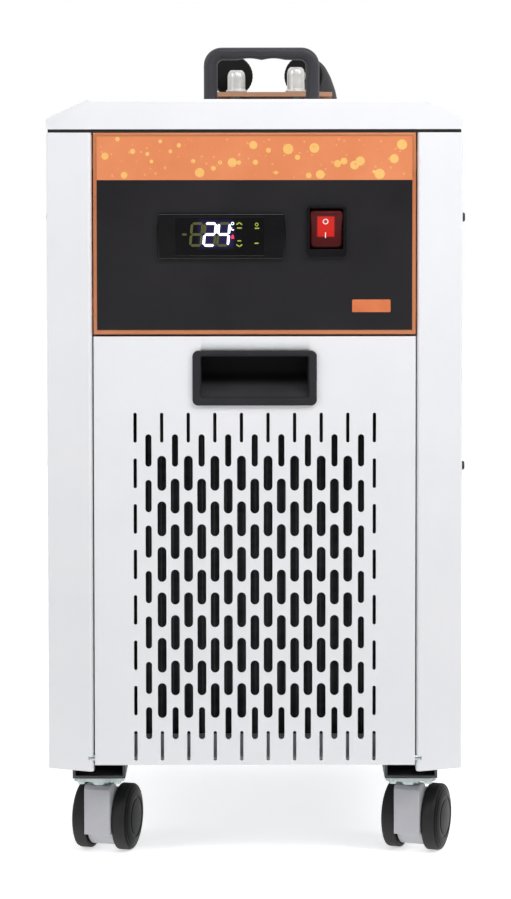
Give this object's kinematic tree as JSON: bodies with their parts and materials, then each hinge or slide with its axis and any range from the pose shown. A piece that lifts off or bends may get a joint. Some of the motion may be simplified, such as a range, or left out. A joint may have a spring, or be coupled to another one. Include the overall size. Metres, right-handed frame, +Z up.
{
  "type": "recirculating chiller",
  "caption": "White upright recirculating chiller with slotted tilting front door, orange control panel, top hose valves, bow handle and twin-wheel castors.",
  "frame": {"origin": "on the floor, in the middle of the bounding box", "axes": "+Z up, the front with the grille faces -Y, +X is to the right of someone who stands before it"},
  "size_m": [0.318, 0.452, 0.6187],
  "materials": {
    "white_paint": "satin white powder coat",
    "orange_paint": "satin orange-brown powder coat",
    "overlay_dark": "dark grey printed film",
    "band_orange": "light orange print",
    "dot_yellow": "pale yellow print",
    "gloss_black": "glossy black",
    "window_dark": "dark display window",
    "digit_white": "lit white",
    "black_plastic": "moulded black",
    "grey_black_plastic": "moulded dark grey",
    "red_lens": "translucent red",
    "hood_grey": "light grey plastic",
    "wheel_black": "black tread",
    "zinc": "zinc plated",
    "galvanised": "galvanised sheet",
    "dark_steel": "black enamel",
    "fin_black": "dark coated fins",
    "nickel": "nickel plated",
    "stainless": "stainless",
    "copper": "copper tube",
    "foam": "closed-cell foam",
    "rubber_black": "black rubber",
    "hose_clear": "silicone hose",
    "grey_plastic": "grey plastic"
  },
  "bodies": {
    "cabinet": {"side_panel_left": "white_paint", "side_panel_right": "white_paint", "rear_panel": "white_paint", "top_cover": "white_paint", "fascia": "orange_paint", "connection_bracket": "orange_paint", "fascia_overlay": "overlay_dark", "band_print": "band_orange", "band_dots": "dot_yellow", "controller": "gloss_black", "controller_window": "window_dark", "display_digits": "digit_white", "switch_bezel": "black_plastic", "mains_inlet": "black_plastic", "fan_shroud": "black_plastic", "drain_nozzle": "black_plastic", "top_handle": "grey_black_plastic", "base_tray": "galvanised", "component_shelf": "galvanised", "castor_plates": "zinc", "castor_bolts": "zinc", "panel_screws": "dark_steel", "compressor": "dark_steel", "fan_motor": "dark_steel", "pump": "dark_steel", "castor_rails": "dark_steel", "condenser": "fin_black", "supply_valve": "nickel", "return_valve": "nickel", "tank": "stainless", "copper_pipes": "copper", "filter_drier": "copper", "evaporator_coil": "copper", "tank_insulation": "foam", "lid_gasket": "rubber_black", "compressor_feet": "rubber_black", "hoses": "hose_clear", "electrics_box": "grey_plastic", "filler_neck": "grey_plastic"},
    "door": {"door_panel": "white_paint", "door_pull": "black_plastic", "door_hinge_pins": "zinc"},
    "rocker": {"rocker": "red_lens"},
    "supply_knob": {"supply_knob": "black_plastic"},
    "return_knob": {"return_knob": "black_plastic"},
    "filler_cap": {"filler_cap": "grey_black_plastic"},
    "fan": {"fan": "black_plastic"},
    "swivel_front_left": {"castor_hood_front_left": "hood_grey"},
    "wheel_front_left_inner": {"wheel_front_left_inner": "wheel_black"},
    "wheel_front_left_outer": {"wheel_front_left_outer": "wheel_black"},
    "swivel_front_right": {"castor_hood_front_right": "hood_grey"},
    "wheel_front_right_inner": {"wheel_front_right_inner": "wheel_black"},
    "wheel_front_right_outer": {"wheel_front_right_outer": "wheel_black"},
    "swivel_rear_left": {"castor_hood_rear_left": "hood_grey"},
    "wheel_rear_left_inner": {"wheel_rear_left_inner": "wheel_black"},
    "wheel_rear_left_outer": {"wheel_rear_left_outer": "wheel_black"},
    "swivel_rear_right": {"castor_hood_rear_right": "hood_grey"},
    "wheel_rear_right_inner": {"wheel_rear_right_inner": "wheel_black"},
    "wheel_rear_right_outer": {"wheel_rear_right_outer": "wheel_black"}
  },
  "joints": [
    {"name": "door_tilt", "type": "hinge", "parent": "cabinet", "child": "door", "pos_m": [0, -0.2185, 0.079], "axis": [1, 0, 0], "range_deg": [0, 35]},
    {"name": "rocker_tilt", "type": "hinge", "parent": "cabinet", "child": "rocker", "pos_m": [0.0539, -0.219, 0.48], "axis": [-1, 0, 0], "range_deg": [0, 24]},
    {"name": "supply_knob_turn", "type": "hinge", "parent": "cabinet", "child": "supply_knob", "pos_m": [0.04391, 0.13255, 0.6006], "axis": [0.342, 0.9397, 0], "continuous": true},
    {"name": "return_knob_turn", "type": "hinge", "parent": "cabinet", "child": "return_knob", "pos_m": [-0.01945, 0.1337, 0.6006], "axis": [-0.1564, 0.9877, 0], "continuous": true},
    {"name": "filler_cap_lift", "type": "slide", "parent": "cabinet", "child": "filler_cap", "axis": [0, 0, 1], "range_m": [0, 0.06]},
    {"name": "fan_spin", "type": "hinge", "parent": "cabinet", "child": "fan", "pos_m": [0, -0.143, 0.232], "axis": [0, 1, 0], "continuous": true},
    {"name": "swivel_front_left_turn", "type": "hinge", "parent": "cabinet", "child": "swivel_front_left", "pos_m": [-0.1185, -0.195, 0.05], "axis": [0, 0, 1], "continuous": true},
    {"name": "wheel_front_left_inner_roll", "type": "hinge", "parent": "swivel_front_left", "child": "wheel_front_left_inner", "pos_m": [-0.09768, -0.18143, 0.0255], "axis": [0.9659, -0.2588, 0], "continuous": true},
    {"name": "wheel_front_left_outer_roll", "type": "hinge", "parent": "swivel_front_left", "child": "wheel_front_left_outer", "pos_m": [-0.12975, -0.17283, 0.0255], "axis": [0.9659, -0.2588, 0], "continuous": true},
    {"name": "swivel_front_right_turn", "type": "hinge", "parent": "cabinet", "child": "swivel_front_right", "pos_m": [0.1185, -0.195, 0.05], "axis": [0, 0, 1], "continuous": true},
    {"name": "wheel_front_right_inner_roll", "type": "hinge", "parent": "swivel_front_right", "child": "wheel_front_right_inner", "pos_m": [0.10903, -0.17202, 0.0255], "axis": [0.9426, -0.3338, 0], "continuous": true},
    {"name": "wheel_front_right_outer_roll", "type": "hinge", "parent": "swivel_front_right", "child": "wheel_front_right_outer", "pos_m": [0.14032, -0.1831, 0.0255], "axis": [0.9426, -0.3338, 0], "continuous": true},
    {"name": "swivel_rear_left_turn", "type": "hinge", "parent": "cabinet", "child": "swivel_rear_left", "pos_m": [-0.1185, 0.16, 0.05], "axis": [0, 0, 1], "continuous": true},
    {"name": "wheel_rear_left_inner_roll", "type": "hinge", "parent": "swivel_rear_left", "child": "wheel_rear_left_inner", "pos_m": [-0.09516, 0.16854, 0.0255], "axis": [0.8829, -0.4695, 0], "continuous": true},
    {"name": "wheel_rear_left_outer_roll", "type": "hinge", "parent": "swivel_rear_left", "child": "wheel_rear_left_outer", "pos_m": [-0.12447, 0.18413, 0.0255], "axis": [0.8829, -0.4695, 0], "continuous": true},
    {"name": "swivel_rear_right_turn", "type": "hinge", "parent": "cabinet", "child": "swivel_rear_right", "pos_m": [0.1185, 0.16, 0.05], "axis": [0, 0, 1], "continuous": true},
    {"name": "wheel_rear_right_inner_roll", "type": "hinge", "parent": "swivel_rear_right", "child": "wheel_rear_right_inner", "pos_m": [0.09439, 0.16606, 0.0255], "axis": [0.829, 0.5592, 0], "continuous": true},
    {"name": "wheel_rear_right_outer_roll", "type": "hinge", "parent": "swivel_rear_right", "child": "wheel_rear_right_outer", "pos_m": [0.12192, 0.18462, 0.0255], "axis": [0.829, 0.5592, 0], "continuous": true}
  ]
}
